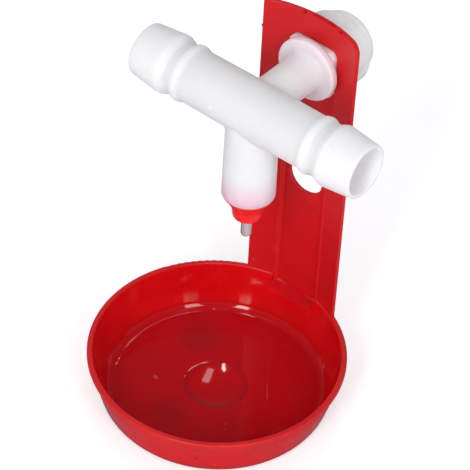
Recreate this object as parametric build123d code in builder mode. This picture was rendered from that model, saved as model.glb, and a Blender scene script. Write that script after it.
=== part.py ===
from build123d import *
from math import radians, sqrt, tan
import os

# Poultry drinking cup with a nipple valve, in millimetres.
# The cup stands on Z = 0 and its axis is Z. The tall back plate is on the +Y side,
# and the tee that the hose is pushed on runs along X.

# Cup
cup_height = 15.95
rim_radius = 36.0
lip_height = 1.6
lip_overhang = 0.6
lip_top_edge_radius = 0.55
lip_lower_edge_radius = 0.4
lip_inner_edge_radius = 0.3
base_radius = 31.65
cup_wall = 1.3
outer_corner_radius = 5.0
inner_corner_radius = 2.9
foot_height = 0.55
foot_width = 1.2
dimple_radius = 9.0
dimple_depth = 1.3
dimple_edge_radius = 2.0
boss_margin = 3.0

# Back plate: its heights are above the cup's rim
plate_thickness = 1.2
plate_half_width = 15.5
plate_corner_radius = 3.0
plate_left_corner_radius = 0.8
plate_edge_radius = 0.3
plate_head = 15.2
plate_setback = 0.8
band_half_width = 7.55
band_overlap = 0.9
band_head = 7.55
back_pad_head = 11.3
recess_depth = 2.65
recess_slope = 50.0
recess_softness = 4.0
recess_runout = 0.03
pad_depth = 6.9
spare_hole_rise = 40.5
hole_radius = 5.5
hole_edge_radius = 0.2
mark_setback = 0.15
mark_turn = 3.1
mark_bar_length = 7.4
mark_bar_width = 1.0
mark_bar_depth = 0.35
mark_dot_radius = 0.6
mark_dot_depth = 0.8
mark_dot_turn = 10.0
rib_radius = 0.95
rib_rise = 55.0
edge_nub_radius = 0.45
edge_nub_rise = 86.5

# Tee body
tee_rise = 80.4
tee_y = 9.9
run_half_length = 36.3
run_bore_radius = 6.4
run_socket_depth = 22.3
run_socket_step = 0.1
run_wall = 1.25
run_draft = 0.15
tip_wall = 1.1
tip_edge_radius = 0.4
tip_mouth_radius = 0.25
inner_barb_x = 19.4
inner_barb_ramp = 1.2
inner_barb_land = 1.0
inner_barb_rise = 0.6
inner_barb_softness = 1.5
groove_length = 1.6
outer_barb_ramp = 2.1
outer_barb_land = 1.0
outer_barb_rise = 0.95
outer_barb_softness = 0.8
branch_drop = 28.25
branch_bore_radius = 5.5
branch_wall = 1.5
branch_draft = 0.25
arm_wall = 1.75
collar_width = 3.55
collar_thickness = 2.3
collar_edge_radius = 0.5
collar_flare = 1.8
shoulder_depth = 1.9
shoulder_clearance = 0.2
shoulder_corner_radius = 2.0
shoulder_edge_radius = 0.3
joint_fillet = 1.6
stub_clearance = 0.2
stub_wall = 1.5
stub_length = 11.0

# Cap nut and its seal
nut_skirt_length = 9.2
nut_skirt_wall = 1.5
nut_core_width = 1.97
nut_hub_wall = 1.8
nut_step_width = 1.9
nut_end_length = 4.6
nut_skirt_edge_radius = 0.8
nut_end_edge_radius = 1.8
nut_step_radius = 0.5
nut_thread_clearance = 0.08
seal_thickness = 1.0

# Nipple body: its nose hangs below the branch and its plug goes up the bore
nose_flange_thickness = 0.6
nose_flange_inset = 0.25
nose_shoulder_inset = 0.2
nose_neck_drop = 4.9
nose_neck_wall = 1.2
nose_neck_softness = 3.0
nose_taper = 0.5
nose_drop = 8.6
nose_floor = 2.4
nose_edge_radius = 1.0
plug_clearance = 0.1
plug_groove_wall = 0.6
plug_lead = 3.45
seat_shoulder_width = 0.7
o_ring_section_radius = 0.5
o_ring_rise = 6.0
o_ring_play = 0.05

# Trigger pin, its seat ring, the valve seat and the valve pin
pin_radius = 1.5
pin_reach = 6.95
pin_tip_radius = 0.9
pin_hole_play = 0.6
ball_play = 0.5
ball_flat_rise = 0.6
running_gap = 0.05
lower_ring_thickness = 0.8
valve_lift = 0.9
lift_room = 0.35
stem_gap = 0.15
stem_radius = 1.0
stem_play = 0.35
seat_height = 3.4
seat_cone_depth = 0.95
valve_head_overlap = 0.1
valve_head_height = 1.6
valve_head_chamfer = 0.4
retainer_height = 2.0
retainer_wall = 0.9

# Heights and radii that follow from the sizes above
lip_bottom = cup_height - lip_height
wall_slope = (rim_radius - lip_overhang - base_radius) / lip_bottom
wall_across = cup_wall * sqrt(1 + wall_slope**2)
floor_top = foot_height + cup_wall
pad_bottom = cup_height - pad_depth
tee_height = cup_height + tee_rise
spare_hole_height = cup_height + spare_hole_rise
plate_top = tee_height + plate_head
band_front_y = rim_radius - plate_setback
band_back_y = band_front_y + plate_thickness
branch_end = tee_height - branch_drop
branch_end_radius = branch_bore_radius + branch_wall + branch_draft
stub_radius = hole_radius - stub_clearance
stub_end_y = band_back_y + stub_length


def outer_wall(height):
    return base_radius + wall_slope * height


def inner_wall(height):
    return outer_wall(height) - wall_across


def corner(sketch, across, up):
    return sketch.vertices().sort_by_distance(Vector(across, up))[0]


def strap_back():
    # Back outline of the strap from above: a stretch of a circle
    Circle(band_back_y)
    with Locations((0, rim_radius)):
        Rectangle(2 * plate_half_width, 2 * rim_radius, mode=Mode.INTERSECT)


# Cup with back plate, one moulding
foot_inner_radius = base_radius - outer_corner_radius - foot_width
boss_radius = dimple_radius + boss_margin
dimple_ball_radius = (dimple_radius**2 + dimple_depth**2) / (2 * dimple_depth)
band_corner_radius = shoulder_corner_radius + shoulder_clearance
mark_radius = band_front_y + mark_setback
edge_nub_y = sqrt((band_front_y + plate_thickness / 2) ** 2 - plate_half_width**2)

# The recess slopes in under the band and meets the run-out along the wall at its knee
recess_height = cup_height - recess_depth
recess_grade = tan(radians(recess_slope))
recess_outer = rim_radius + recess_depth
recess_inner = foot_inner_radius
runout_radius = inner_wall(recess_height) - recess_runout
knee_drop = (band_front_y - runout_radius) / (1 / recess_grade - wall_slope)
knee_radius = runout_radius - wall_slope * knee_drop
knee_height = recess_height - knee_drop

with BuildPart() as strap:
    # Tall curved strap with soft edges and rounded top corners, the left one nearly square
    with BuildSketch(Plane.XY.offset(lip_bottom)):
        strap_back()
        Circle(band_front_y, mode=Mode.SUBTRACT)
    extrude(amount=plate_top - lip_bottom)
    with BuildSketch(Plane.XZ) as strap_front:
        with Locations((0, (lip_bottom + plate_top) / 2)):
            Rectangle(2 * plate_half_width, plate_top - lip_bottom)
        fillet(corner(strap_front, -plate_half_width, plate_top), plate_left_corner_radius)
        fillet(corner(strap_front, plate_half_width, plate_top), plate_corner_radius)
    extrude(amount=-2 * rim_radius, mode=Mode.INTERSECT)
    side_faces = strap.faces().filter_by(Axis.X).group_by(SortBy.AREA)[-1]
    top_face = strap.faces().filter_by(Axis.Z).sort_by(Axis.Z)[-1]
    corner_edges = strap.edges().filter_by(GeomType.BSPLINE)
    fillet(side_faces.edges().filter_by(Axis.Z) + top_face.edges() + corner_edges, plate_edge_radius)

    # Flat pad on its back for the cap nut, and a flat band in its front for the tee
    with BuildSketch(Plane.XY.offset(lip_bottom)):
        with Locations((0, band_back_y - plate_thickness / 2)):
            Rectangle(2 * (band_half_width + band_overlap), plate_thickness)
    extrude(amount=tee_height + back_pad_head - lip_bottom)
    with BuildSketch(Plane.XZ) as band_front:
        with Locations((0, (lip_bottom + tee_height + band_head) / 2)):
            Rectangle(2 * band_half_width, tee_height + band_head - lip_bottom)
        fillet(band_front.vertices().group_by(Axis.Y)[-1], band_corner_radius)
    extrude(amount=-band_front_y, mode=Mode.SUBTRACT)

    # Small marks along the front of the top edge, and a nub on the left edge
    with BuildSketch(Plane.XY.offset(plate_top)):
        with PolarLocations(mark_radius, 1, 90 - mark_turn):
            SlotOverall(mark_bar_length, mark_bar_width, rotation=90)
    extrude(amount=-mark_bar_depth, mode=Mode.SUBTRACT)
    with BuildSketch(Plane.XY.offset(plate_top)):
        with PolarLocations(mark_radius, 1, 90 - mark_turn - mark_dot_turn):
            Circle(mark_dot_radius)
        with PolarLocations(mark_radius, 1, 90 - mark_turn + mark_dot_turn):
            Circle(mark_dot_radius)
    extrude(amount=-mark_dot_depth, mode=Mode.SUBTRACT)
    with Locations((-plate_half_width, edge_nub_y, cup_height + edge_nub_rise)):
        Sphere(edge_nub_radius)

with BuildPart() as recess:
    # Room where the band's face runs on below the rim and then rounds into the wall
    with BuildSketch(Plane.XZ) as recess_section:
        with BuildLine():
            Polyline(
                (recess_inner, cup_height + recess_depth),
                (recess_outer, cup_height + recess_depth),
                (recess_outer, recess_height + (recess_outer - band_front_y) * recess_grade),
                (knee_radius, knee_height),
                (inner_wall(pad_bottom) - recess_runout, pad_bottom),
                (recess_inner, pad_bottom),
                close=True,
            )
        make_face()
        fillet(corner(recess_section, knee_radius, knee_height), recess_softness)
    revolve(axis=Axis.Z)
    with BuildSketch(Plane.XY):
        with Locations((0, band_front_y / 2)):
            Rectangle(2 * band_half_width, band_front_y)
    extrude(amount=2 * cup_height, mode=Mode.INTERSECT)

with BuildPart() as cup_with_backplate:
    # Pad that carries the strap down the outside of the wall, sloped underneath
    with BuildSketch(Plane.XY.offset(pad_bottom)) as pad_section:
        strap_back()
        with Locations((0, band_back_y / 2)):
            Rectangle(2 * (band_half_width + band_overlap), band_back_y)
        fillet(corner(pad_section, plate_half_width, rim_radius), plate_edge_radius)
        fillet(corner(pad_section, -plate_half_width, rim_radius), plate_edge_radius)
    extrude(amount=pad_depth)
    with BuildSketch(Plane.XZ):
        with BuildLine():
            Polyline(
                (outer_wall(pad_bottom), pad_bottom),
                (outer_wall(pad_bottom) + 2 * pad_depth, pad_bottom + 2 * pad_depth),
                (outer_wall(pad_bottom) + 2 * pad_depth, pad_bottom),
                close=True,
            )
        make_face()
    revolve(axis=Axis.Z, mode=Mode.SUBTRACT)
    with BuildSketch(Plane.XZ):
        with BuildLine():
            Polyline(
                (0, pad_bottom),
                (outer_wall(pad_bottom) - wall_across / 2, pad_bottom),
                (outer_wall(cup_height) - wall_across / 2, cup_height),
                (0, cup_height),
                close=True,
            )
        make_face()
    revolve(axis=Axis.Z, mode=Mode.SUBTRACT)

    # Round cup with a lip, a foot ring and a boss under the dimple
    with BuildSketch(Plane.XZ) as cup_section:
        with BuildLine():
            Polyline(
                (0, 0),
                (boss_radius, 0),
                (boss_radius, foot_height),
                (foot_inner_radius, foot_height),
                (foot_inner_radius, 0),
                (base_radius, 0),
                (outer_wall(lip_bottom), lip_bottom),
                (rim_radius, lip_bottom),
                (rim_radius, cup_height),
                (inner_wall(cup_height), cup_height),
                (inner_wall(floor_top), floor_top),
                (0, floor_top),
                close=True,
            )
        make_face()
        fillet(corner(cup_section, base_radius, 0), outer_corner_radius)
        fillet(corner(cup_section, inner_wall(floor_top), floor_top), inner_corner_radius)
        fillet(corner(cup_section, rim_radius, cup_height), lip_top_edge_radius)
        fillet(corner(cup_section, rim_radius, lip_bottom), lip_lower_edge_radius)
        fillet(corner(cup_section, inner_wall(cup_height), cup_height), lip_inner_edge_radius)
    revolve(axis=Axis.Z)
    add(strap)
    add(recess, mode=Mode.SUBTRACT)

    # Two round ribs along the band's edges, from the wall up past the spare hole
    with BuildSketch(Plane.XY.offset(recess_height)):
        with Locations((-band_half_width, band_front_y), (band_half_width, band_front_y)):
            Circle(rib_radius)
    extrude(amount=cup_height + rib_rise - recess_height)

    # Hole for the tee's arm and the spare hole below it
    with Locations(Plane.XZ.offset(-band_front_y)):
        with Locations((0, tee_height), (0, spare_hole_height)):
            Hole(hole_radius, depth=2 * plate_thickness)
    hole_edges = cup_with_backplate.edges().filter_by(GeomType.CIRCLE)
    hole_edges = hole_edges.filter_by(lambda edge: edge.radius == hole_radius)
    fillet(hole_edges, hole_edge_radius)

    # Round dimple in the floor under the nipple
    with Locations((0, 0, floor_top + dimple_ball_radius - dimple_depth)):
        Sphere(dimple_ball_radius, mode=Mode.SUBTRACT)
    floor_edges = cup_with_backplate.edges().filter_by_position(Axis.Z, floor_top - 0.01, floor_top + 0.01)
    fillet(floor_edges.sort_by(SortBy.LENGTH)[0], dimple_edge_radius)

# Tee body, one moulding: a barbed run, a branch down and an arm to the rear
run_radius = run_bore_radius + run_wall
run_end_radius = run_radius - run_draft
inner_crest_radius = run_end_radius + inner_barb_rise
outer_crest_radius = run_end_radius + outer_barb_rise
inner_crest_x = inner_barb_x + inner_barb_ramp
inner_land_x = inner_crest_x + inner_barb_land
inner_root_x = inner_land_x + inner_barb_ramp
outer_root_x = inner_root_x + groove_length
outer_crest_x = outer_root_x + outer_barb_ramp
outer_land_x = outer_crest_x + outer_barb_land
arm_bore_radius = stub_radius - stub_wall
arm_radius = arm_bore_radius + arm_wall
collar_radius = arm_radius + collar_width
collar_back = band_front_y - tee_y - shoulder_depth
collar_front = collar_back - collar_thickness
shoulder_side = 2 * (band_half_width - shoulder_clearance)

tee_centre = (0, tee_y, tee_height)
tee_plan = Plane(tee_centre)
tee_front = Plane(tee_centre, x_dir=(1, 0, 0), z_dir=(0, -1, 0))
run_axis = Axis(tee_centre, (1, 0, 0))
arm_axis = Axis(tee_centre, (0, 1, 0))
branch_axis = Axis(tee_centre, (0, 0, 1))

with BuildPart() as tee_body:
    with BuildSketch(tee_plan) as run_section:
        with BuildLine():
            Polyline(
                (0, 0),
                (0, run_radius),
                (inner_barb_x, run_end_radius),
                (inner_crest_x, inner_crest_radius),
                (inner_land_x, inner_crest_radius),
                (inner_root_x, run_end_radius),
                (outer_root_x, run_end_radius),
                (outer_crest_x, outer_crest_radius),
                (outer_land_x, outer_crest_radius),
                (run_half_length, run_bore_radius + tip_wall),
                (run_half_length, 0),
                close=True,
            )
        make_face()
        fillet(corner(run_section, inner_barb_x, run_end_radius), inner_barb_softness)
        fillet(corner(run_section, inner_crest_x, inner_crest_radius), inner_barb_softness)
        fillet(corner(run_section, inner_land_x, inner_crest_radius), inner_barb_softness)
        fillet(corner(run_section, inner_root_x, run_end_radius), inner_barb_softness)
        fillet(corner(run_section, outer_root_x, run_end_radius), outer_barb_softness)
        fillet(corner(run_section, outer_crest_x, outer_crest_radius), outer_barb_softness)
        fillet(corner(run_section, run_half_length, run_bore_radius + tip_wall), tip_edge_radius)
        mirror(about=Plane.YZ)
    revolve(axis=run_axis)
    with BuildSketch(tee_front):
        with BuildLine():
            Polyline(
                (0, 0),
                (branch_bore_radius + branch_wall, 0),
                (branch_end_radius, -branch_drop),
                (0, -branch_drop),
                close=True,
            )
        make_face()
    revolve(axis=branch_axis)
    with BuildSketch(tee_plan):
        with BuildLine():
            Polyline((0, 0), (arm_radius, 0), (arm_radius, collar_front), (0, collar_front), close=True)
        make_face()
    revolve(axis=arm_axis)
    # Soft fillets where the branch and the arm leave the run
    crossings = tee_body.edges().filter_by(GeomType.BSPLINE)
    fillet(crossings.filter_by(lambda crossing: abs(crossing.center().X) < inner_barb_x / 2), joint_fillet)
    # Collar, square shoulder and threaded stub
    with BuildSketch(tee_plan) as collar_section:
        with BuildLine():
            Polyline(
                (0, collar_front - collar_flare),
                (arm_radius, collar_front - collar_flare),
                (arm_radius, collar_front),
                (collar_radius, collar_front),
                (collar_radius, collar_back),
                (0, collar_back),
                close=True,
            )
        make_face()
        fillet(corner(collar_section, arm_radius, collar_front), 0.9 * collar_flare)
        fillet(corner(collar_section, collar_radius, collar_front), collar_edge_radius)
        fillet(corner(collar_section, collar_radius, collar_back), collar_edge_radius)
    revolve(axis=arm_axis)
    with BuildSketch(tee_front.offset(-collar_back)):
        RectangleRounded(shoulder_side, shoulder_side, shoulder_corner_radius)
    extrude(amount=-shoulder_depth)
    fillet(tee_body.faces().sort_by(Axis.Y)[-1].edges(), shoulder_edge_radius)
    with BuildSketch(tee_front.offset(-collar_back - shoulder_depth)):
        Circle(stub_radius)
    extrude(amount=-plate_thickness - stub_length)
    # Bores: the run has a socket at each end and a slightly narrower middle
    with BuildSketch(tee_plan):
        with BuildLine():
            Polyline(
                (0, 0),
                (0, run_bore_radius - run_socket_step),
                (run_half_length - run_socket_depth, run_bore_radius - run_socket_step),
                (run_half_length - run_socket_depth, run_bore_radius),
                (run_half_length, run_bore_radius),
                (run_half_length, 0),
                close=True,
            )
        make_face()
        mirror(about=Plane.YZ)
    revolve(axis=run_axis, mode=Mode.SUBTRACT)
    end_faces = tee_body.faces().sort_by(Axis.X)
    for end_face in (end_faces[0], end_faces[-1]):
        fillet(end_face.edges().sort_by(SortBy.LENGTH)[0], tip_mouth_radius)
    with BuildSketch(tee_plan):
        Circle(branch_bore_radius)
    extrude(amount=-branch_drop, mode=Mode.SUBTRACT)
    with BuildSketch(tee_front):
        Circle(arm_bore_radius)
    extrude(amount=-(stub_end_y - tee_y), mode=Mode.SUBTRACT)

# Cap nut, revolved about the arm's axis from the back of the band
thread_radius = stub_radius + nut_thread_clearance
hub_radius = thread_radius + nut_hub_wall
skirt_inner_radius = hub_radius + nut_core_width
skirt_radius = skirt_inner_radius + nut_skirt_wall
nut_end_radius = skirt_radius - nut_step_width
nut_length = nut_skirt_length + nut_end_length
core_depth = nut_skirt_length - nut_skirt_wall
blind_depth = stub_length + seal_thickness

with BuildPart() as cap_nut:
    with BuildSketch(Plane((0, band_back_y, tee_height))) as nut_section:
        with BuildLine():
            Polyline(
                (thread_radius, 0),
                (hub_radius, 0),
                (hub_radius, core_depth),
                (skirt_inner_radius, core_depth),
                (skirt_inner_radius, 0),
                (skirt_radius, 0),
                (skirt_radius, nut_skirt_length),
                (nut_end_radius, nut_skirt_length),
                (nut_end_radius, nut_length),
                (0, nut_length),
                (0, blind_depth),
                (thread_radius, blind_depth),
                close=True,
            )
        make_face()
        fillet(corner(nut_section, skirt_radius, nut_skirt_length), nut_skirt_edge_radius)
        fillet(corner(nut_section, nut_end_radius, nut_skirt_length), nut_step_radius)
        fillet(corner(nut_section, nut_end_radius, nut_length), nut_end_edge_radius)
    revolve(axis=arm_axis)

with BuildPart() as cap_seal:
    with BuildSketch(tee_front.offset(tee_y - stub_end_y)):
        Circle(stub_radius)
    extrude(amount=-seal_thickness)

# Nipple body, its heights measured from the branch's open end
plug_radius = branch_bore_radius - plug_clearance
ring_groove_radius = branch_bore_radius - 2 * o_ring_section_radius
ring_groove_half = o_ring_section_radius + o_ring_play
seat_bore_radius = ring_groove_radius - plug_groove_wall
chamber_radius = seat_bore_radius - seat_shoulder_width
chamber_floor = nose_floor - nose_drop
pin_hole_radius = pin_radius + pin_hole_play
neck_radius = chamber_radius + nose_neck_wall
nose_tip_radius = neck_radius - nose_taper
nose_flange_radius = branch_end_radius - nose_flange_inset
nose_shoulder_radius = nose_flange_radius - nose_shoulder_inset

ring_top = chamber_floor + lower_ring_thickness
ball_radius = chamber_radius - ball_play
ball_height = ring_top + sqrt(ball_radius**2 - pin_hole_radius**2) + running_gap
head_top = ball_height + ball_flat_rise
seat_bottom = head_top + valve_lift + lift_room
seat_top = seat_bottom + seat_height
plug_top = o_ring_rise + ring_groove_half + plug_lead

nipple_centre = (0, tee_y, branch_end)
nipple_plan = Plane(nipple_centre)
nipple_side = Plane(nipple_centre, x_dir=(1, 0, 0), z_dir=(0, -1, 0))

with BuildPart() as nipple_body:
    with BuildSketch(nipple_side) as nipple_section:
        with BuildLine():
            Polyline(
                (pin_hole_radius, -nose_drop),
                (nose_tip_radius, -nose_drop),
                (neck_radius, -nose_neck_drop),
                (nose_shoulder_radius, -nose_flange_thickness),
                (nose_flange_radius, -nose_flange_thickness),
                (nose_flange_radius, 0),
                (plug_radius, 0),
                (plug_radius, o_ring_rise - ring_groove_half),
                (ring_groove_radius, o_ring_rise - ring_groove_half),
                (ring_groove_radius, o_ring_rise + ring_groove_half),
                (plug_radius, o_ring_rise + ring_groove_half),
                (plug_radius, plug_top),
                (seat_bore_radius, plug_top),
                (seat_bore_radius, seat_bottom),
                (chamber_radius, seat_bottom),
                (chamber_radius, chamber_floor),
                (pin_hole_radius, chamber_floor),
                close=True,
            )
        make_face()
        fillet(corner(nipple_section, nose_tip_radius, -nose_drop), nose_edge_radius)
        fillet(corner(nipple_section, neck_radius, -nose_neck_drop), nose_neck_softness)
    revolve(axis=branch_axis)

with BuildPart() as nipple_o_ring:
    with BuildSketch(nipple_side):
        with Locations((branch_bore_radius - o_ring_section_radius, o_ring_rise)):
            Circle(o_ring_section_radius)
    revolve(axis=branch_axis)

with BuildPart() as lower_seat_ring:
    with BuildSketch(nipple_plan.offset(chamber_floor)):
        Circle(chamber_radius)
        Circle(pin_hole_radius, mode=Mode.SUBTRACT)
    extrude(amount=lower_ring_thickness)

# Trigger pin: a round-tipped shaft under a ball head with a flat top
pin_tip = -nose_drop - pin_reach

with BuildPart() as trigger_pin:
    with Locations(nipple_plan.offset(ball_height)):
        Sphere(ball_radius)
    with BuildSketch(nipple_plan.offset(head_top)):
        Circle(2 * ball_radius)
    extrude(amount=ball_radius, mode=Mode.SUBTRACT)
    with BuildSketch(nipple_plan.offset(pin_tip)):
        Circle(pin_radius)
    extrude(amount=ball_height - pin_tip)
    fillet(trigger_pin.edges().sort_by(Axis.Z)[0], pin_tip_radius)

# Valve seat, its retainer and the valve pin above the trigger pin
seat_hole_radius = stem_radius + stem_play
seat_cone_radius = seat_hole_radius + seat_cone_depth
seat_step = seat_top - seat_cone_depth
valve_head_radius = seat_cone_radius + valve_head_overlap
cone_bottom = seat_step - stem_play + running_gap
cone_top = seat_top + valve_head_overlap + running_gap

with BuildPart() as seat_insert:
    with BuildSketch(nipple_side):
        with BuildLine():
            Polyline(
                (seat_hole_radius, seat_bottom),
                (seat_bore_radius, seat_bottom),
                (seat_bore_radius, seat_top),
                (seat_cone_radius, seat_top),
                (seat_hole_radius, seat_step),
                close=True,
            )
        make_face()
    revolve(axis=branch_axis)

with BuildPart() as seat_retainer:
    with BuildSketch(nipple_plan.offset(seat_top)):
        Circle(seat_bore_radius)
        Circle(seat_bore_radius - retainer_wall, mode=Mode.SUBTRACT)
    extrude(amount=retainer_height)

with BuildPart() as valve_pin:
    with BuildSketch(nipple_side):
        with BuildLine():
            Polyline(
                (0, head_top + stem_gap),
                (stem_radius, head_top + stem_gap),
                (stem_radius, cone_bottom),
                (valve_head_radius, cone_top),
                (valve_head_radius, cone_top + valve_head_height),
                (0, cone_top + valve_head_height),
                close=True,
            )
        make_face()
    revolve(axis=branch_axis)
    chamfer(valve_pin.edges().sort_by(Axis.Z)[-1], valve_head_chamfer)

# One STEP file per piece
pieces = {
    "cup_with_backplate": cup_with_backplate,
    "tee_body": tee_body,
    "cap_nut": cap_nut,
    "cap_seal": cap_seal,
    "nipple_body": nipple_body,
    "nipple_o_ring": nipple_o_ring,
    "lower_seat_ring": lower_seat_ring,
    "trigger_pin": trigger_pin,
    "seat_insert": seat_insert,
    "seat_retainer": seat_retainer,
    "valve_pin": valve_pin,
}

os.makedirs("parts", exist_ok=True)
for piece_name, piece in pieces.items():
    piece.part.label = piece_name
    export_step(piece.part, f"parts/{piece_name}.step")
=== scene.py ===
import math

import bpy
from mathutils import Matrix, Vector


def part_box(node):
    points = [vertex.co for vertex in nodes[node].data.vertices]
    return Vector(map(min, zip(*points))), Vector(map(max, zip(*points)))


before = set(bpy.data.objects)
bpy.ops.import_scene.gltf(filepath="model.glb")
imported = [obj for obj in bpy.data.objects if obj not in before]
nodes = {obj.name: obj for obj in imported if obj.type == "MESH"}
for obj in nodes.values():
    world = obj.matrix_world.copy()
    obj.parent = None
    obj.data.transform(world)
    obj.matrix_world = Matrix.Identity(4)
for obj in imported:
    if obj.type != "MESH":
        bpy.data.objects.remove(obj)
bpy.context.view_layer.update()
print("stage: frame loaded,", len(nodes), "nodes")

mm = 0.001
noiseSpan = (0.3, 0.7)
plasticIor = 1.49
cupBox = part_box("cup_with_backplate")
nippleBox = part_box("nipple_body")
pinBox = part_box("trigger_pin")


# camera, where the photograph was taken from
camera = {
    "place": (0.28485, -0.36477, 0.49027),
    "turn": (46.997, -2.370, 39.807),
    "lens": 183.57,
    "sensor": 36,
    "clipStart": 0.01,
}

bpy.ops.object.select_all(action="DESELECT")
bpy.ops.object.camera_add(location=camera["place"], rotation=[math.radians(a) for a in camera["turn"]])
cam = bpy.context.object
cam.name = "photoCamera"
cam.data.lens = camera["lens"]
cam.data.sensor_width = camera["sensor"]
cam.data.clip_start = camera["clipStart"]
cam.data.dof.use_dof = False
bpy.context.scene.camera = cam
bpy.context.scene.view_settings.view_transform = "Standard"
print("stage: camera")


# helpers for node trees
def plug(tree, socket, value):
    if isinstance(value, bpy.types.NodeSocket):
        tree.links.new(value, socket)
    else:
        socket.default_value = value


def newMaterial(name):
    mat = bpy.data.materials.new(name)
    mat.use_nodes = True
    tree = mat.node_tree
    shader = tree.nodes["Principled BSDF"]
    coord = tree.nodes.new("ShaderNodeTexCoord")
    return mat, tree, shader, coord.outputs["Object"]


def addNode(tree, kind, settings=None, **inputs):
    # an input named i0 is the first socket, i1 the second and so on
    node = tree.nodes.new(kind)
    for key, value in (settings or {}).items():
        setattr(node, key, value)
    for key, value in inputs.items():
        byNumber = key[0] == "i" and key[1:].isdigit()
        plug(tree, node.inputs[int(key[1:])] if byNumber else node.inputs[key], value)
    return node


def maths(tree, operation, a, b=0.0):
    return addNode(tree, "ShaderNodeMath", {"operation": operation}, i0=a, i1=b).outputs[0]


def product(tree, first, *others):
    for other in others:
        first = maths(tree, "MULTIPLY", first, other)
    return first


def vectorMaths(tree, operation, a, b=(0.0, 0.0, 0.0)):
    node = addNode(tree, "ShaderNodeVectorMath", {"operation": operation}, i0=a, i1=b)
    return node.outputs["Value" if operation in ("DOT_PRODUCT", "DISTANCE", "LENGTH") else "Vector"]


def remap(tree, value, lowIn, highIn, lowOut=0.0, highOut=1.0):
    node = addNode(tree, "ShaderNodeMapRange", {"clamp": True, "interpolation_type": "SMOOTHSTEP"})
    for number, entry in enumerate((value, lowIn, highIn, lowOut, highOut)):
        plug(tree, node.inputs[number], entry)
    return node.outputs[0]


def fade(tree, value, span, lowOut=0.0, highOut=1.0):
    # remap over a span that is given in millimetres
    return remap(tree, value, span[0] * mm, span[1] * mm, lowOut, highOut)


def mixColour(tree, factor, a, b):
    node = tree.nodes.new("ShaderNodeMix")
    node.data_type = "RGBA"
    plug(tree, node.inputs[0], factor)
    plug(tree, node.inputs[6], a)
    plug(tree, node.inputs[7], b)
    return node.outputs[2]


def setGloss(tree, shader, grain, look):
    tree.links.new(remap(tree, grain, *noiseSpan, *look["gloss"]), shader.inputs["Roughness"])


def setBump(tree, shader, height, look):
    depth = look["bumpDepth"] * mm
    bump = addNode(tree, "ShaderNodeBump", Strength=look["bump"], Distance=depth, Height=height)
    tree.links.new(bump.outputs[0], shader.inputs["Normal"])


def setSubsurface(shader, look):
    shader.inputs["Subsurface Weight"].default_value = look["scatter"]
    shader.inputs["Subsurface Radius"].default_value = look["scatterRadius"]
    shader.inputs["Subsurface Scale"].default_value = look["scatterScale"] * mm


def newGroup(name, ins, outs):
    group = bpy.data.node_groups.new(name, "ShaderNodeTree")
    for label, kind, value in ins:
        socket = group.interface.new_socket(label, in_out="INPUT", socket_type=kind)
        if value is not None:
            socket.default_value = value
    for label in outs:
        group.interface.new_socket(label, in_out="OUTPUT", socket_type="NodeSocketFloat")
    return group, group.nodes.new("NodeGroupInput"), group.nodes.new("NodeGroupOutput")


def useGroup(tree, group, **inputs):
    node = tree.nodes.new("ShaderNodeGroup")
    node.node_tree = group
    for key, value in inputs.items():
        plug(tree, node.inputs[key], value)
    return node


# shared effects
def makeMouldSkin():
    # soft flow waves and a fine skin, as on any injection moulding
    group, gIn, gOut = newGroup(
        "mouldSkin",
        [
            ("Place", "NodeSocketVector", None),
            ("WaveSize", "NodeSocketFloat", 90.0),
            ("GrainSize", "NodeSocketFloat", 1500.0),
        ],
        ["Wave", "Grain"],
    )
    place = gIn.outputs["Place"]
    wave = addNode(group, "ShaderNodeTexNoise", Vector=place, Scale=gIn.outputs["WaveSize"], Detail=2.0)
    grain = addNode(group, "ShaderNodeTexNoise", Vector=place, Scale=gIn.outputs["GrainSize"], Detail=3.0)
    group.links.new(wave.outputs[0], gOut.inputs["Wave"])
    group.links.new(grain.outputs[0], gOut.inputs["Grain"])
    return group


rubShape = {
    "turns": ((0.3, 0.2, 0.5), (1.2, -0.4, 2.1), (-0.7, 0.9, 1.3)),
    "stretch": (1.0, 9.0, 1.6),
    "span": (0.66, 0.74),
    "patchSize": 55.0,
    "patchSpan": (0.5, 0.62),
}


def makeRubMarks():
    # short faint rubs from handling, running several ways
    group, gIn, gOut = newGroup(
        "rubMarks",
        [
            ("Place", "NodeSocketVector", None),
            ("Size", "NodeSocketFloat", 160.0),
            ("Amount", "NodeSocketFloat", 0.5),
        ],
        ["Mask"],
    )
    place = gIn.outputs["Place"]
    size = gIn.outputs["Size"]
    total = 0.0
    for turn in rubShape["turns"]:
        mapping = addNode(group, "ShaderNodeMapping", Vector=place, Rotation=turn, Scale=rubShape["stretch"])
        noise = addNode(group, "ShaderNodeTexNoise", Vector=mapping.outputs[0], Scale=size, Detail=2.0)
        total = maths(group, "MAXIMUM", total, remap(group, noise.outputs[0], *rubShape["span"]))
    patch = addNode(group, "ShaderNodeTexNoise", Vector=place, Scale=rubShape["patchSize"], Detail=1.0)
    patches = remap(group, patch.outputs[0], *rubShape["patchSpan"])
    mask = product(group, total, patches, gIn.outputs["Amount"])
    group.links.new(mask, gOut.inputs["Mask"])
    return group


speckSpan = (0.86, 0.9)


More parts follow.
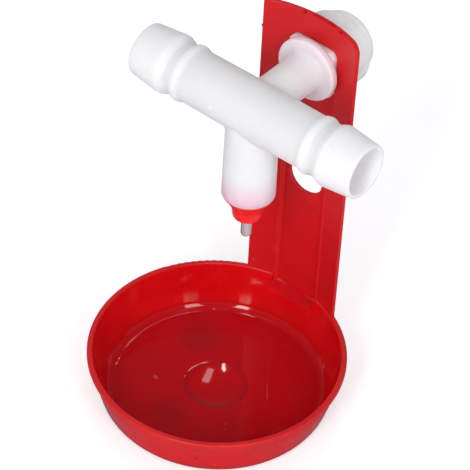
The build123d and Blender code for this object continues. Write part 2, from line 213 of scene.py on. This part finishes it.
def makeSpecks():
    # scattered dust and tiny pits
    group, gIn, gOut = newGroup(
        "specks",
        [
            ("Place", "NodeSocketVector", None),
            ("Spread", "NodeSocketFloat", 260.0),
            ("Size", "NodeSocketFloat", 0.07),
        ],
        ["Mask"],
    )
    cells = addNode(
        group, "ShaderNodeTexVoronoi", {"feature": "F1"},
        Vector=gIn.outputs["Place"], Scale=gIn.outputs["Spread"],
    )
    few = addNode(group, "ShaderNodeTexWhiteNoise", {"noise_dimensions": "3D"})
    group.links.new(cells.outputs["Position"], few.inputs["Vector"])
    dot = maths(group, "LESS_THAN", cells.outputs["Distance"], gIn.outputs["Size"])
    kept = product(group, dot, remap(group, few.outputs[0], *speckSpan))
    group.links.new(kept, gOut.inputs["Mask"])
    return group


def makeMark():
    # one mark from Start to End, a round spot where the two are the same
    group, gIn, gOut = newGroup(
        "mark",
        [
            ("Place", "NodeSocketVector", None),
            ("Start", "NodeSocketVector", None),
            ("End", "NodeSocketVector", None),
            ("Radius", "NodeSocketFloat", 0.0005),
            ("Core", "NodeSocketFloat", 0.5),
        ],
        ["Mask"],
    )
    start = gIn.outputs["Start"]
    fromStart = vectorMaths(group, "SUBTRACT", gIn.outputs["Place"], start)
    along = vectorMaths(group, "SUBTRACT", gIn.outputs["End"], start)
    # the tiny number keeps a round spot from dividing by nothing
    square = maths(group, "MAXIMUM", vectorMaths(group, "DOT_PRODUCT", along, along), 1e-12)
    share = maths(group, "DIVIDE", vectorMaths(group, "DOT_PRODUCT", fromStart, along), square)
    share = addNode(group, "ShaderNodeClamp", Value=share).outputs[0]
    foot = addNode(group, "ShaderNodeVectorMath", {"operation": "SCALE"}, i0=along, Scale=share)
    away = vectorMaths(group, "DISTANCE", fromStart, foot.outputs[0])
    core = product(group, gIn.outputs["Radius"], gIn.outputs["Core"])
    mask = remap(group, away, core, gIn.outputs["Radius"], 1.0, 0.0)
    group.links.new(mask, gOut.inputs["Mask"])
    return group


mouldSkin = makeMouldSkin()
rubMarks = makeRubMarks()
specks = makeSpecks()
mark = makeMark()
print("stage: shared node groups")


def addMarks(tree, place, colour, marks):
    # each mark is start, end, radius, core share, colour and strength, lengths in millimetres
    for start, end, radius, core, tint, strength in marks.values():
        ends = [[part * mm for part in point] for point in (start, end)]
        spot = useGroup(tree, mark, Place=place, Start=ends[0], End=ends[1], Radius=radius * mm, Core=core)
        colour = mixColour(tree, product(tree, spot.outputs[0], strength), colour, tint)
    return colour


# red plastic of the cup and its back plate
redLook = {
    "colour": (0.66, 0.0045, 0.007, 1.0),
    "deep": (0.58, 0.0030, 0.005, 1.0),
    # painted shade: the plate above the rim is painted a darker red than the cup
    "plate": (0.57, 0.0040, 0.007, 1.0),
    "plateAbove": (15.9, 17.0),
    # painted shade: the bowl's floor below the next span is painted a deeper red
    "bowlFloorShade": (0.475, 0.0040, 0.008, 1.0),
    "bowlFloorShadeBelow": (2.2, 5.5),
    "rub": (0.72, 0.03, 0.035, 1.0),
    "rubSize": 120.0,
    "rubAmount": 0.3,
    "rubGloss": 0.2,
    "dustSpread": 210.0,
    "dustSize": 0.05,
    "dustStrength": 0.5,
    "waveSize": 70.0,
    "grainSize": 1800.0,
    "waveHeight": 0.35,
    "grainHeight": 0.03,
    "bump": 0.35,
    "bumpDepth": 0.2,
    "bowlGloss": (0.045, 0.085),
    "plainGloss": (0.34, 0.46),
    "bowlRadius": (34.1, 34.5),
    "bowlTop": (15.6, 15.9),
    "shine": 0.5,
    "slopeShine": 0.12,
    "topShine": 0.26,
    "topFrom": (68.0, 92.0),
    "rightFrom": (-2.0, 9.0),
}
# the slope under the flat band: spans over which each side of it fades out
slopeSpans = {"side": (7.6, 7.7), "front": (32.0, 32.5), "back": (35.4, 35.5), "top": (13.3, 13.5)}
pit = {"at": (17.34, -28.96, 8.17), "radius": 0.55, "core": 0.4}
# painted highlights: a lighter red line along each of the two ribs on the plate
ribHighlight = {
    "side": 7.55,
    "front": 35.2,
    "foot": 14.0,
    "top": 71.5,
    "radius": 1.15,
    "core": 0.7,
    "strength": 0.55,
}

darkSpot = (0.12, 0.002, 0.004, 1.0)
paleSpot = (0.80, 0.20, 0.22, 1.0)
shade = (0.36, 0.006, 0.012, 1.0)
# painted light for the inside of the dimple
dimplePaintedLightRed = (0.505, 0.004, 0.008, 1.0)
ribHighlightRed = (0.74, 0.014, 0.018, 1.0)
paintedLightRed = (0.66, 0.005, 0.008, 1.0)


def ribHighlightMark(side):
    foot = (side, ribHighlight["front"], ribHighlight["foot"])
    top = (side, ribHighlight["front"], ribHighlight["top"])
    return foot, top, ribHighlight["radius"], ribHighlight["core"], ribHighlightRed, ribHighlight["strength"]


redMarks = {
    "outerPit": (pit["at"], pit["at"], pit["radius"], 0.5, darkSpot, 1.0),
    "floorSpeck": ((-0.82, 10.92, 1.85), (-0.82, 10.92, 1.85), 0.40, 0.4, darkSpot, 0.7),
    "brightDot": ((-19.44, 22.43, 2.09), (-19.44, 22.43, 2.09), 0.40, 0.3, paleSpot, 0.6),
    "paleBlemish": ((-14.66, -8.92, 1.85), (-13.9, -9.2, 1.85), 0.70, 0.2, paleSpot, 0.30),
    "floorScratch": ((10.95, 9.51, 1.85), (14.34, 5.35, 1.85), 0.22, 0.2, paleSpot, 0.22),
    "cornerBlotch": ((19.29, 24.58, 3.71), (19.29, 24.58, 3.71), 0.90, 0.2, paleSpot, 0.25),
    "nearDot": ((11.88, -9.53, 1.85), (11.88, -9.53, 1.85), 0.32, 0.3, paleSpot, 0.45),
    "nearerDot": ((12.9, -11.2, 1.85), (12.9, -11.2, 1.85), 0.26, 0.3, paleSpot, 0.35),
    "wallSpeck": ((-27.69, 17.53, 9.51), (-27.69, 17.53, 9.51), 0.45, 0.3, darkSpot, 0.6),
    "plateDot": ((-13.83, 32.36, 18.47), (-13.83, 32.36, 18.47), 0.50, 0.3, paleSpot, 0.35),
    # painted shade: a dark bar along the hole's lower edge
    "shadeUnderHole": ((-0.4, 35.2, 46.76), (4.4, 35.2, 46.76), 0.45, 0.2, shade, 0.5),
    "farShade": ((-17.06, 13.39, 1.85), (-14.5, 10.5, 1.85), 9.0, 0.1, shade, 0.85),
    "nearShade": ((-4.55, -16.26, 1.85), (-1.5, -17.5, 1.85), 8.0, 0.1, shade, 0.75),
    "slopeShade": ((-6.0, 34.2, 12.2), (5.5, 34.2, 12.2), 3.0, 0.3, shade, 0.42),
    # painted shade: a darker disc over the dimple, with a lighter disc of painted light inside it, leaves a
    # painted dark ring along the dimple's edge
    "dimpleShade": ((0.0, 0.0, 0.5), (0.0, 0.0, 0.5), 9.5, 0.92, shade, 0.85),
    "dimplePaintedLight": ((0.2, 0.6, 0.5), (0.2, 0.6, 0.5), 8.6, 0.80, dimplePaintedLightRed, 0.95),
    # painted highlights along the two ribs
    "leftRibHighlight": ribHighlightMark(-ribHighlight["side"]),
    "rightRibHighlight": ribHighlightMark(ribHighlight["side"]),
    # painted light: the plate's right side is painted a lighter red
    "plateRightPaintedLight": ((12.5, 33.4, 50.0), (12.5, 33.4, 108.0), 9.0, 0.4, paintedLightRed, 0.6),
}


def makeRedPlastic():
    look = redLook
    mat, tree, shader, place = newMaterial("redPlastic")
    x, y, z = addNode(tree, "ShaderNodeSeparateXYZ", i0=place).outputs
    flat = addNode(tree, "ShaderNodeCombineXYZ", i0=x, i1=y)
    fromAxis = vectorMaths(tree, "LENGTH", flat.outputs[0])
    within = fade(tree, fromAxis, look["bowlRadius"], 1.0, 0.0)
    bowl = product(tree, within, fade(tree, z, look["bowlTop"], 1.0, 0.0))
    # the slope under the band is as smooth as the bowl
    side = fade(tree, maths(tree, "ABSOLUTE", x), slopeSpans["side"], 1.0, 0.0)
    front = fade(tree, y, slopeSpans["front"])
    back = fade(tree, y, slopeSpans["back"], 1.0, 0.0)
    slope = product(tree, side, front, back, fade(tree, z, slopeSpans["top"], 1.0, 0.0))
    bowl = maths(tree, "MAXIMUM", bowl, slope)
    skin = useGroup(tree, mouldSkin, Place=place, WaveSize=look["waveSize"], GrainSize=look["grainSize"])
    wave, grain = skin.outputs
    rub = useGroup(tree, rubMarks, Place=place, Size=look["rubSize"], Amount=look["rubAmount"]).outputs[0]
    dust = useGroup(tree, specks, Place=place, Spread=look["dustSpread"], Size=look["dustSize"]).outputs[0]
    colour = mixColour(tree, remap(tree, wave, *noiseSpan), look["deep"], look["colour"])
    # painted shade: light comes through the thin wall, so the floor looks deeper than the wall does, and
    # that is painted into the floor's colour
    colour = mixColour(tree, fade(tree, z, look["bowlFloorShadeBelow"], 1.0, 0.0), colour, look["bowlFloorShade"])
    # painted shade: the plate above the rim is painted a darker red than the cup
    colour = mixColour(tree, fade(tree, z, look["plateAbove"]), colour, look["plate"])
    colour = mixColour(tree, rub, colour, look["rub"])
    colour = mixColour(tree, product(tree, dust, look["dustStrength"]), colour, look["rub"])
    tree.links.new(addMarks(tree, place, colour, redMarks), shader.inputs["Base Color"])
    # the polished mould leaves the bowl glossy, and the rest is satin
    shiny = remap(tree, grain, *noiseSpan, *look["bowlGloss"])
    satin = remap(tree, grain, *noiseSpan, *look["plainGloss"])
    gap = product(tree, maths(tree, "SUBTRACT", satin, shiny), bowl)
    rough = maths(tree, "SUBTRACT", satin, gap)
    rough = maths(tree, "ADD", rough, product(tree, rub, look["rubGloss"]))
    tree.links.new(rough, shader.inputs["Roughness"])
    centre = [part * mm for part in pit["at"]]
    hollow = useGroup(
        tree, mark, Place=place, Start=centre, End=centre, Radius=pit["radius"] * mm, Core=pit["core"]
    )
    height = product(tree, wave, look["waveHeight"])
    height = maths(tree, "ADD", height, product(tree, grain, look["grainHeight"]))
    setBump(tree, shader, maths(tree, "SUBTRACT", height, hollow.outputs[0]), look)
    # the slope and the plate's right top are duller than the rest
    dullSlope = product(tree, slope, look["shine"] - look["slopeShine"])
    top = fade(tree, z, look["topFrom"])
    right = fade(tree, x, look["rightFrom"])
    dullTop = product(tree, top, right, look["shine"] - look["topShine"])
    shine = maths(tree, "SUBTRACT", look["shine"], maths(tree, "ADD", dullSlope, dullTop))
    tree.links.new(shine, shader.inputs["Specular IOR Level"])
    shader.inputs["IOR"].default_value = plasticIor
    return mat


redPlastic = makeRedPlastic()


# natural white plastic of the tee, where the red nipple inside and the red plate show through
# rises count up from the branch's end and depths along Y from the plate's face, in millimetres
whiteLook = {
    "colour": (0.85, 0.85, 0.852, 1.0),
    "cool": (0.83, 0.833, 0.84, 1.0),
    "bore": (0.96, 0.95, 0.975, 1.0),
    "boreRadius": (6.45, 6.75),
    "blush": (0.86, 0.42, 0.56, 1.0),
    "blushRise": (-2.0, 11.0),
    "blushStrength": 0.9,
    "rimLightLine": (0.95, 0.62, 0.68, 1.0),
    "rimRise": (0.25, 0.6),
    "rimStrength": 0.7,
    "collar": (0.74, 0.60, 0.69, 1.0),
    "collarDepth": (-6.2, -4.0),
    "collarStrength": (0.03, 0.5),
    "shoulder": (0.95, 0.88, 0.905, 1.0),
    "shoulderDepth": (-2.1, -1.8),
    "shoulderStrength": 0.85,
    "rub": (0.72, 0.72, 0.73, 1.0),
    "rubSize": 150.0,
    "rubAmount": 0.25,
    "waveSize": 60.0,
    "grainSize": 1200.0,
    "waveHeight": 0.6,
    "grainHeight": 0.05,
    "gloss": (0.36, 0.48),
    "bump": 0.25,
    "bumpDepth": 0.2,
    "scatter": 0.85,
    "scatterRadius": (1.0, 0.97, 0.97),
    "scatterScale": 4.0,
}
# where things lie on the tee: the run's axis in Y and Z, and the branch's end above the nose's tip
runAxis = (9.9, 96.35)
branchRise = 8.6
plateThickness = 1.2
# painted highlight: a small white spot on the run
teeHighlightAt = (-8.2, 2.33, 96.71)
teeHighlights = {"paintedHighlight": (teeHighlightAt, teeHighlightAt, 0.8, 0.3, (1.0, 1.0, 1.0, 1.0), 0.8)}


def makeWhitePlastic():
    look = whiteLook
    mat, tree, shader, place = newMaterial("naturalWhitePlastic")
    y, z = addNode(tree, "ShaderNodeSeparateXYZ", i0=place).outputs[1:]
    skin = useGroup(tree, mouldSkin, Place=place, WaveSize=look["waveSize"], GrainSize=look["grainSize"])
    wave, grain = skin.outputs
    rub = useGroup(tree, rubMarks, Place=place, Size=look["rubSize"], Amount=look["rubAmount"]).outputs[0]
    branchEnd = nippleBox[0].z / mm + branchRise
    plateFace = cupBox[1].y / mm - plateThickness
    low = fade(tree, z, [branchEnd + rise for rise in look["blushRise"]], 1.0, 0.0)
    edge = fade(tree, z, [branchEnd + rise for rise in look["rimRise"]], look["rimStrength"], 0.0)
    near = fade(tree, y, [plateFace + depth for depth in look["collarDepth"]], *look["collarStrength"])
    behind = [plateFace + depth for depth in look["shoulderDepth"]]
    behindCollar = fade(tree, y, behind, 0.0, look["shoulderStrength"])
    offAxis = [maths(tree, "SUBTRACT", part, middle * mm) for part, middle in zip((y, z), runAxis)]
    across = addNode(tree, "ShaderNodeCombineXYZ", i0=offAxis[0], i1=offAxis[1])
    fromRun = vectorMaths(tree, "LENGTH", across.outputs[0])
    inBore = fade(tree, fromRun, look["boreRadius"], 1.0, 0.0)
    colour = mixColour(tree, remap(tree, wave, *noiseSpan), look["cool"], look["colour"])
    colour = mixColour(tree, product(tree, low, look["blushStrength"]), colour, look["blush"])
    # the collar near the plate is painted darker and pinker: the red plate showing through, and painted
    # shade where the collar meets the plate
    colour = mixColour(tree, near, colour, look["collar"])
    # painted light: the shoulder just behind the collar is painted lighter, taking out the shade under the
    # collar's rim
    colour = mixColour(tree, behindCollar, colour, look["shoulder"])
    # painted light: a lighter pink line along the branch's end
    colour = mixColour(tree, edge, colour, look["rimLightLine"])
    # painted light: the run's bore is painted near white
    colour = mixColour(tree, inBore, colour, look["bore"])
    colour = mixColour(tree, rub, colour, look["rub"])
    tree.links.new(addMarks(tree, place, colour, teeHighlights), shader.inputs["Base Color"])
    setGloss(tree, shader, grain, look)
    height = product(tree, wave, look["waveHeight"])
    setBump(tree, shader, maths(tree, "ADD", height, product(tree, grain, look["grainHeight"])), look)
    setSubsurface(shader, look)
    shader.inputs["IOR"].default_value = plasticIor
    return mat


whitePlastic = makeWhitePlastic()


# a moulded plastic whose colour drifts between two
def makePlainPlastic(name, look):
    mat, tree, shader, place = newMaterial(name)
    skin = useGroup(tree, mouldSkin, Place=place, WaveSize=look["waveSize"], GrainSize=look["grainSize"])
    wave, grain = skin.outputs
    colour = mixColour(tree, remap(tree, wave, *look["waveSpan"]), look["deep"], look["colour"])
    tree.links.new(colour, shader.inputs["Base Color"])
    setGloss(tree, shader, grain, look)
    setBump(tree, shader, wave, look)
    setSubsurface(shader, look)
    shader.inputs["IOR"].default_value = plasticIor
    return mat


# clearer milky plastic of the cap nut
nutLook = {
    "colour": (0.92, 0.915, 0.92, 1.0),
    "deep": (0.80, 0.765, 0.78, 1.0),
    "waveSize": 85.0,
    "waveSpan": (0.35, 0.65),
    "grainSize": 900.0,
    "gloss": (0.28, 0.33),
    "bump": 0.06,
    "bumpDepth": 0.2,
    "scatter": 0.6,
    "scatterRadius": (1.0, 1.0, 1.0),
    "scatterScale": 4.0,
}
nutPlastic = makePlainPlastic("milkyPlastic", nutLook)


# turned stainless steel of the pins and the seat
steelLook = {
    "colour": (0.88, 0.86, 0.87, 1.0),
    "dark": (0.80, 0.79, 0.81, 1.0),
    "ringSize": 1500.0,
    "ringBend": 1.5,
    "fineSize": 1800.0,
    "gloss": (0.14, 0.22),
    "bump": 0.06,
    "bumpDepth": 0.03,
    "metallic": 0.7,
}
tipZ = pinBox[0].z / mm
streakTop = tipZ + 12.0
darkSteel = (0.16, 0.155, 0.17, 1.0)
paleSteel = (1.0, 0.975, 1.0, 1.0)
# painted highlight and painted dark reflection bands along the pin, and a darker tip
steelMarks = {
    "paintedDarkReflection": ((-0.95, 8.75, tipZ), (-0.95, 8.75, streakTop), 1.0, 0.3, darkSteel, 0.75),
    "paintedHighlightStreak": ((0.95, 8.74, tipZ), (0.95, 8.74, streakTop), 0.62, 0.5, paleSteel, 0.95),
    "darkTip": ((-1.1, 9.0, tipZ + 0.2), (0.5, 8.6, tipZ + 0.1), 0.5, 0.3, darkSteel, 0.9),
}


def makeSteel():
    look = steelLook
    mat, tree, shader, place = newMaterial("turnedSteel")
    rings = addNode(
        tree, "ShaderNodeTexWave", {"wave_type": "BANDS", "bands_direction": "Z"},
        Vector=place, Scale=look["ringSize"], Distortion=look["ringBend"], Detail=2.0,
    )
    fine = addNode(tree, "ShaderNodeTexNoise", Vector=place, Scale=look["fineSize"], Detail=2.0)
    colour = mixColour(tree, remap(tree, fine.outputs[0], *noiseSpan), look["dark"], look["colour"])
    # a painted highlight streak, a painted dark reflection band beside it, and the tip painted darker
    tree.links.new(addMarks(tree, place, colour, steelMarks), shader.inputs["Base Color"])
    setGloss(tree, shader, fine.outputs[0], look)
    setBump(tree, shader, rings.outputs["Fac"], look)
    shader.inputs["Metallic"].default_value = look["metallic"]
    return mat


steel = makeSteel()


# black rubber of the seals
rubberLook = {
    "colour": (0.022, 0.022, 0.023, 1.0),
    "bloom": (0.05, 0.05, 0.05, 1.0),
    "waveSize": 500.0,
    "waveSpan": (0.4, 0.7),
    "grainSize": 2500.0,
    "gloss": (0.55, 0.75),
    "bump": 0.3,
    "bumpDepth": 0.1,
}


def makeRubber():
    look = rubberLook
    mat, tree, shader, place = newMaterial("sealRubber")
    skin = useGroup(tree, mouldSkin, Place=place, WaveSize=look["waveSize"], GrainSize=look["grainSize"])
    wave, grain = skin.outputs
    colour = mixColour(tree, remap(tree, wave, *look["waveSpan"]), look["colour"], look["bloom"])
    tree.links.new(colour, shader.inputs["Base Color"])
    setGloss(tree, shader, grain, look)
    setBump(tree, shader, grain, look)
    return mat


rubber = makeRubber()


# brighter red plastic of the nipple
noseLook = {
    "colour": (0.93, 0.024, 0.025, 1.0),
    "deep": (0.85, 0.018, 0.020, 1.0),
    "waveSize": 240.0,
    "waveSpan": (0.35, 0.65),
    "grainSize": 1600.0,
    "gloss": (0.26, 0.34),
    "bump": 0.14,
    "bumpDepth": 0.2,
    "scatter": 0.3,
    "scatterRadius": (1.0, 0.1, 0.1),
    "scatterScale": 1.5,
}
nosePlastic = makePlainPlastic("nippleRedPlastic", noseLook)

finishes = {
    "cup_with_backplate": redPlastic,
    "tee_body": whitePlastic,
    "cap_nut": nutPlastic,
    "cap_seal": rubber,
    "nipple_body": nosePlastic,
    "nipple_o_ring": rubber,
    "lower_seat_ring": rubber,
    "trigger_pin": steel,
    "seat_insert": steel,
    "seat_retainer": whitePlastic,
    "valve_pin": steel,
}
for name, finish in finishes.items():
    slots = nodes[name].data.materials
    for number in range(len(slots)):
        slots[number] = finish
    print("finish", finish.name, "in", len(slots), "slot of", name)
print("stage: finishes on", len(finishes), "nodes")


# floor, world and lamps
studio = {
    "floorSize": 6.0,
    "floorColour": (0.80, 0.80, 0.82, 1.0),
    "floorInGloss": (0.30, 0.30, 0.335, 1.0),
    "floorRoughness": 0.9,
    "floorSpecular": 0.1,
    "lift": 0.42,
    "horizon": (1.02, 1.02, 1.03, 1.0),
    "zenith": (0.44, 0.44, 0.45, 1.0),
    "skyRise": (0.0, 0.7),
    "glossHorizon": (0.24, 0.24, 0.27, 1.0),
    "glossZenith": (0.07, 0.07, 0.08, 1.0),
    "glossRise": (0.05, 0.6),
    "backdrop": (1.0, 1.0, 1.0, 1.0),
    "aim": (0, 0.01, 0.03),
}

bpy.ops.object.select_all(action="DESELECT")
bpy.ops.mesh.primitive_plane_add(size=studio["floorSize"], location=(0, 0, 0))
floor = bpy.context.object
floor.name = "floor"
floorMat, floorTree, floorShader = newMaterial("paleFloor")[:3]
path = floorTree.nodes.new("ShaderNodeLightPath")
floorColour = mixColour(
    floorTree, path.outputs["Is Glossy Ray"], studio["floorColour"], studio["floorInGloss"]
)
floorTree.links.new(floorColour, floorShader.inputs["Base Color"])
floorShader.inputs["Roughness"].default_value = studio["floorRoughness"]
floorShader.inputs["Specular IOR Level"].default_value = studio["floorSpecular"]
floorShader.inputs["Emission Color"].default_value = (1, 1, 1, 1)
lift = product(floorTree, path.outputs["Is Camera Ray"], studio["lift"])
floorTree.links.new(lift, floorShader.inputs["Emission Strength"])
floor.data.materials.append(floorMat)

world = bpy.data.worlds.new("studioWorld")
bpy.context.scene.world = world
world.use_nodes = True
sky = world.node_tree
background = sky.nodes["Background"]
skyPlace = sky.nodes.new("ShaderNodeTexCoord")
skyParts = addNode(sky, "ShaderNodeSeparateXYZ", i0=skyPlace.outputs["Generated"])
skyPath = sky.nodes.new("ShaderNodeLightPath")
up = remap(sky, skyParts.outputs[2], *studio["skyRise"])
softSky = mixColour(sky, up, studio["horizon"], studio["zenith"])
glossUp = remap(sky, skyParts.outputs[2], *studio["glossRise"])
glossSky = mixColour(sky, glossUp, studio["glossHorizon"], studio["glossZenith"])
skyColour = mixColour(sky, skyPath.outputs["Is Glossy Ray"], softSky, glossSky)
seenThrough = maths(sky, "MAXIMUM", skyPath.outputs["Is Camera Ray"], skyPath.outputs["Is Transmission Ray"])
skyColour = mixColour(sky, seenThrough, skyColour, studio["backdrop"])
sky.links.new(skyColour, background.inputs["Color"])


def addLamp(name, azimuth, elevation, distance, width, height, power):
    # azimuth 0 is in front of the cup, and positive goes towards +X
    az, el = math.radians(azimuth), math.radians(elevation)
    back = Vector((math.sin(az) * math.cos(el), -math.cos(az) * math.cos(el), math.sin(el)))
    bpy.ops.object.light_add(type="AREA", location=Vector(studio["aim"]) + back * distance)
    lamp = bpy.context.object
    lamp.name = name
    lamp.data.shape = "RECTANGLE"
    lamp.data.size = width
    lamp.data.size_y = height
    lamp.data.energy = power
    lamp.rotation_euler = back.to_track_quat("Z", "Y").to_euler()


lamps = {
    "softboxLeft": {
        "azimuth": 15, "elevation": 32, "distance": 1.2, "width": 0.22, "height": 0.75, "power": 5.7,
    },
    "softboxRight": {
        "azimuth": 64, "elevation": 32, "distance": 1.2, "width": 0.27, "height": 0.75, "power": 3.8,
    },
    "stripNear": {
        "azimuth": -123, "elevation": 69, "distance": 1.3, "width": 0.05, "height": 0.16, "power": 0.5,
    },
    "stripFar": {
        "azimuth": -154, "elevation": 60, "distance": 1.3, "width": 0.12, "height": 0.42, "power": 0.6,
    },
}
for name, lamp in lamps.items():
    addLamp(name, **lamp)
print("stage: floor, world and lamps")
